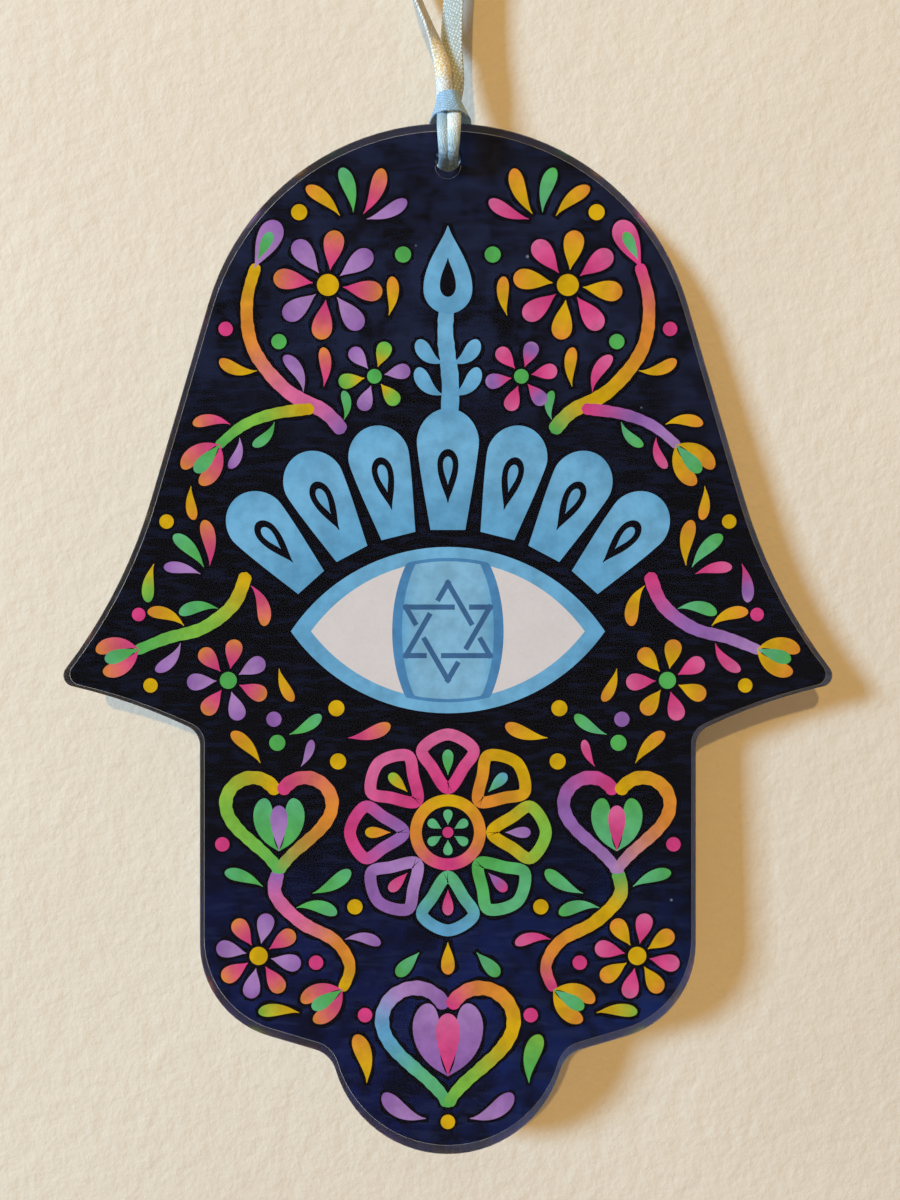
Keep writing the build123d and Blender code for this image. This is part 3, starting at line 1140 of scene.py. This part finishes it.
# %% Inks of both sides
gold = "yellow orange"
sides = {
    "left": (-1, "pink orange", "purple rose orange yellow", "green mint", "lilac purple",
             "yellow lime green"),
    "right": (1, gold, "green yellow orange pink", "mint green", "pink rose",
              "pink purple lilac"),
}
print("sides", list(sides))

# %% [markdown]
# The dome carries the longest stem, which bends round the outside and ends in a bud. A second stem
# leaves it for a tulip, and two daisies stand in the bow between the stem and the crown.

# %% Dome
for name, (side, petal, stem, leaf, bud, second) in sides.items():
    shapes = vine(
        side, [(12.3, 35.7), (14.6, 33.2), (19.2, 30.6), (23.0, 25.8), (23.8, 20.4), (22.6, 15.6)],
        1.7, stem, [(0.04, -1, 3.4), (0.30, -1, 4.8), (0.52, 1, 4.6)], [leaf, bud, gold],
    )
    shapes.append(drop(side * 22.9, 16.2, side * -26, 6.2, 2.9, bud))
    shapes.append(drop(side * 22.5, 15.2, side * -26, 3.6, 1.3, leaf))
    shapes += vine(
        side, [(15.8, 32.8), (20.4, 33.4), (24.2, 34.8), (27.4, 37.4)],
        1.4, second, [(0.30, 1, 3.8), (0.72, -1, 4.4), (0.74, 1, 3.8)], [leaf, petal, bud],
    )
    shapes += tulip(side * 27.0, 37.1, side * 138, 5.2, petal, leaf)
    shapes += daisy(side * 14.2, 18.2, 8, 1.8, 6.5, 2.4, [petal, bud], "yellow", 8)
    shapes += daisy(side * 8.7, 29.0, 6, 1.2, 4.3, 1.8, [second, bud], "green", 20)
    shapes += drops(side, [
        (9.6, 10.4, -72, 5.2, bud), (10.0, 9.8, -30, 5.8, petal), (11.2, 9.6, 8, 5.4, leaf),
        (12.8, 10.0, 42, 5.2, gold), (7.0, 21.8, -12, 4.6, gold),
        (5.3, 14.6, 0.95, "green"), (17.6, 9.6, 0.95, "yellow"),
        (26.3, 23.4, 0.85, "pink"), (20.0, 24.9, 0.9, "green"),
        (14.7, 30.2, -6, 4.6, petal), (30.4, 42.0, 178, 4.0, gold),
    ])
    print_figure("printed_dome_" + name, shapes)

# %% [markdown]
# A stem runs out along each thumb and ends in a tulip near the tip, with a daisy below it.

# %% Thumbs
for name, (side, petal, stem, leaf, bud, second) in sides.items():
    shapes = vine(
        side, [(23.8, 52.2), (25.4, 56.0), (29.0, 58.8), (33.2, 60.0), (37.2, 61.6)], 1.6, second,
        [(0.30, -1, 4.6), (0.60, -1, 4.6), (0.64, 1, 4.4), (0.06, 1, 5.0)],
        [leaf, gold, bud, petal],
    )
    shapes += tulip(side * 36.6, 61.3, side * 108, 5.0, petal, leaf)
    shapes += daisy(side * 26.0, 65.0, 7, 1.4, 4.9, 2.0, [petal, bud], "green", 10)
    shapes += drops(side, [
        (28.2, 51.4, 0, 5.4, petal), (28.9, 51.6, 36, 5.2, leaf), (29.3, 52.4, 72, 4.4, bud),
        (34.8, 51.2, 164, 4.6, second), (18.8, 71.4, -66, 4.4, leaf), (11.8, 71.8, -80, 5.2, petal),
        (20.0, 63.6, 196, 4.2, gold),
        (33.3, 46.2, 0.85, "yellow"), (35.2, 65.6, 0.85, "yellow"), (20.6, 69.6, 0.9, "purple"),
        (36.6, 57.2, 0.8, "pink"), (13.2, 68.3, 0.95, "yellow"),
    ])
    print_figure("printed_thumb_" + name, shapes)

# %% [markdown]
# The palm has a heart with a tulip in it on each side, and a vine that curls inwards below.

# %% Palm
for name, (side, petal, stem, leaf, bud, second) in sides.items():
    shapes = vine(
        side, [(20.0, 87.4), (20.4, 90.4), (17.4, 93.6), (13.4, 95.8), (11.6, 98.8), (12.6, 101.8)],
        1.6, stem, [(0.30, 1, 4.8), (0.62, 1, 4.2)], [leaf, bud],
    )
    shapes += tulip(side * 12.5, 101.6, side * 122, 5.0, petal, leaf)
    shapes += heart(side * 20.0, 81.2, 12.6, 1.6, second, petal + " " + second.split()[-1])
    shapes += tulip(side * 20.0, 85.2, 0, 6.4, leaf, bud)
    shapes += daisy(side * 22.4, 97.6, 8, 1.5, 5.1, 2.0, [bud, petal], "yellow", 12)
    shapes += drops(side, [
        (22.2, 74.8, 36, 5.0, gold), (16.0, 90.2, -66, 5.2, leaf), (17.4, 75.2, -30, 3.4, bud),
        (17.6, 104.3, 82, 4.8, "yellow lime"), (21.9, 89.4, 62, 4.8, leaf),
        (20.2, 72.4, 0.95, "green"), (26.7, 84.4, 0.85, "pink"), (13.0, 74.6, 0.95, "yellow"),
        (15.6, 98.4, 0.85, "pink"), (11.0, 91.8, 0.9, "yellow"), (9.8, 104.6, 0.85, "pink"),
    ])
    print_figure("printed_palm_" + name, shapes)

# %% [markdown]
# The middle of the palm belongs to both sides. Its rose window has eight open petals, whose inks go
# once round the colours, and the heart at the foot has one half of cool inks and one of warm ones.

# %% Rose window and foot
window_d = 83.0
wheel = [
    "pink rose", "orange yellow", "yellow lime", "green mint", "mint sky", "lilac purple",
    "purple pink", "pink rose",
]
ring = [beside(0, window_d, 30 * number, 3.8) for number in range(12)]
shapes = [hoop(ring, 1.4, "yellow orange pink orange yellow", 4)]
shapes += daisy(0, window_d, 6, 0.9, 2.7, 1.1, ["mint"], "pink")
for number, names in enumerate(wheel):
    angle, there_and_back = 45 * number, names + " " + names.split()[0]
    shapes.append(petal_loop(0, window_d, angle, 5.2, 11.6, 17, 1.4, there_and_back))
    shapes.append(drop(*beside(0, window_d, angle, 6.8), angle, 3.0, 1.3, wheel[(number + 3) % 8]))
shapes.append(drop(0, 96.0, 180, 3.8, 1.6, gold))
shapes += heart(0, 107.2, 15.6, 1.7, "purple lilac sky mint green", "pink orange yellow lime green")
shapes += tulip(0, 111.8, 0, 8.8, "purple lilac", "pink rose")
for side, ink in ((-1, gold), (1, "green lime")):
    shapes.append(drop(side * 2.6, 116.8, side * 74, 5.8, 2.0, "lilac purple", side * -30))
    shapes.append(drop(side * 3.4, 97.2, side * 136, 3.8, 1.6, "mint green"))
    shapes.append(drop(side * 9.6, 112.6, side * 4, 5.8, 2.0, ink, side * 20))
shapes.append(dot(0, 117.2, 0.85, "yellow"))
print_figure("printed_middle", shapes)

# %% [markdown]
# ## The wall and the light
# The ornament hangs in front of a cream wall with a fine paint texture, a few millimetres clear of
# it, and the wall leans against the plate by not quite two degrees, so the shadow is wider at the
# foot of the hand than at its top. The wall shows from its front only, so that the ornament can be
# looked at from behind.

# %% Wall
def wall_paint():
    made, start = new_material("cream_wall_paint")
    place = own_place(start)
    cloud = place.noise(18, 3).between(0.3, 0.7)
    lumps = place.noise(420, 4, Roughness=0.55) + place.noise(1500, 3) * 0.25
    coat = start.principled(
        Base_Color=cloud.blend_with(paint(0.90, 0.853, 0.775), paint(0.88, 0.83, 0.75)),
        Roughness=0.85,
        Normal=lumps.bump(0.5, 0.45),
    )
    back = start.node("NewGeometry", (), (), "Backfacing")
    clear = start.node("BsdfTransparent", (), {"Color": (1, 1, 1, 1)})
    cover(start, start.node("MixShader", (), {0: back, 1: coat, 2: clear}))
    return made


wall_y, level_z = 7.34, -108  # how far behind the plate the wall is, and at what height
wall_lean = 0.031
half_wide, low_z, high_z = 600, -700, 500
corners = [(-half_wide, low_z), (half_wide, low_z), (half_wide, high_z), (-half_wide, high_z)]
places = [Vector((x, wall_y - wall_lean * (z - level_z), z)) * mm for x, z in corners]
wall_mesh = bpy.data.meshes.new("wall")
wall_mesh.from_pydata(places, [], [(0, 1, 2, 3)])
wall_mesh.materials.append(wall_paint())
put("wall", wall_mesh)
print("wall", wall_y, "mm behind the middle of the plate")

# %% [markdown]
# Two lamps light the ornament: cool daylight from a window far to the left, whose shadow falls to
# the right and is filled by the other lamp, so it looks warm, and a small warm room lamp that is
# nearer to the camera. Together with a dim room, tinted as the light in it is, they add up to plain
# white light at a plain level.
#
# A wall this close would leave the back of the hand in the dark. So a third lamp stands behind the
# wall and is linked to the backing sheet alone: only that sheet receives its light, only the ribbon
# throws a shadow on it, and the light doesn't bounce, so that nothing of it reaches the front.

# %% Lamps and room
def lamp(name, away, size, colour, share):
    """A square lamp that gives this share of plain white light on a surface facing the camera."""
    aim = Vector((0, 0, -105)) * mm
    data = bpy.data.lights.new(name, "AREA")
    data.size = size * mm
    data.color = colour
    made = put(name, data)
    made.location = aim + Vector(away) * mm
    way = made.location - aim
    made.rotation_euler = way.to_track_quat("Z", "Y").to_euler()
    data.energy = share * math.pi**2 * way.length_squared / abs(way.normalized().y)
    return made


def linked(name, pieces):
    """A collection of pieces that a lamp can be linked to."""
    made = bpy.data.collections.new(name)
    for piece in pieces.split():
        made.objects.link(bpy.data.objects[piece])
    return made


lamp("window", away=(-1280, -853, 401), size=300, colour=(0.585, 1.0, 1.48), share=0.53)
lamp("room_lamp", away=(-300, -1000, 600), size=36, colour=(1.545, 1.0, 0.295), share=0.22)
behind = lamp("lamp_behind", away=(-420, 1000, 500), size=300, colour=(1.0, 0.98, 0.94), share=0.80)
behind.data.cycles.max_bounces = 0
behind.light_linking.receiver_collection = linked("lit_from_behind", "backing_sheet_glued")
behind.light_linking.blocker_collection = linked(
    "in_its_way",
    "left_strand_folded right_strand_folded ribbon_bight left_tail_ribbon right_tail_ribbon",
)

glossy_share = 0.12
world = bpy.data.worlds.new("room")
bpy.context.scene.world = world
world.use_nodes = True
world.node_tree.nodes.clear()
start = Wire(world.node_tree)
dim = start.node("Background", (), {"Color": (0.35, 0.25, 0.15, 1), "Strength": 1.0})
pale = start.node("Background", (), {"Color": (0.86, 0.84, 0.80, 1), "Strength": 1.0})
rays = [f"Is {kind} Ray" for kind in ("Camera", "Transmission", "Glossy")]
direct, through, glossy = (start.node("LightPath", (), (), ray_kind) for ray_kind in rays)
seen = direct + through + glossy * glossy_share
start.node("OutputWorld", (), {"Surface": start.node("MixShader", (), {0: seen, 1: dim, 2: pale})})
bpy.context.scene.view_settings.view_transform = "Standard"

# %% [markdown] ## The end
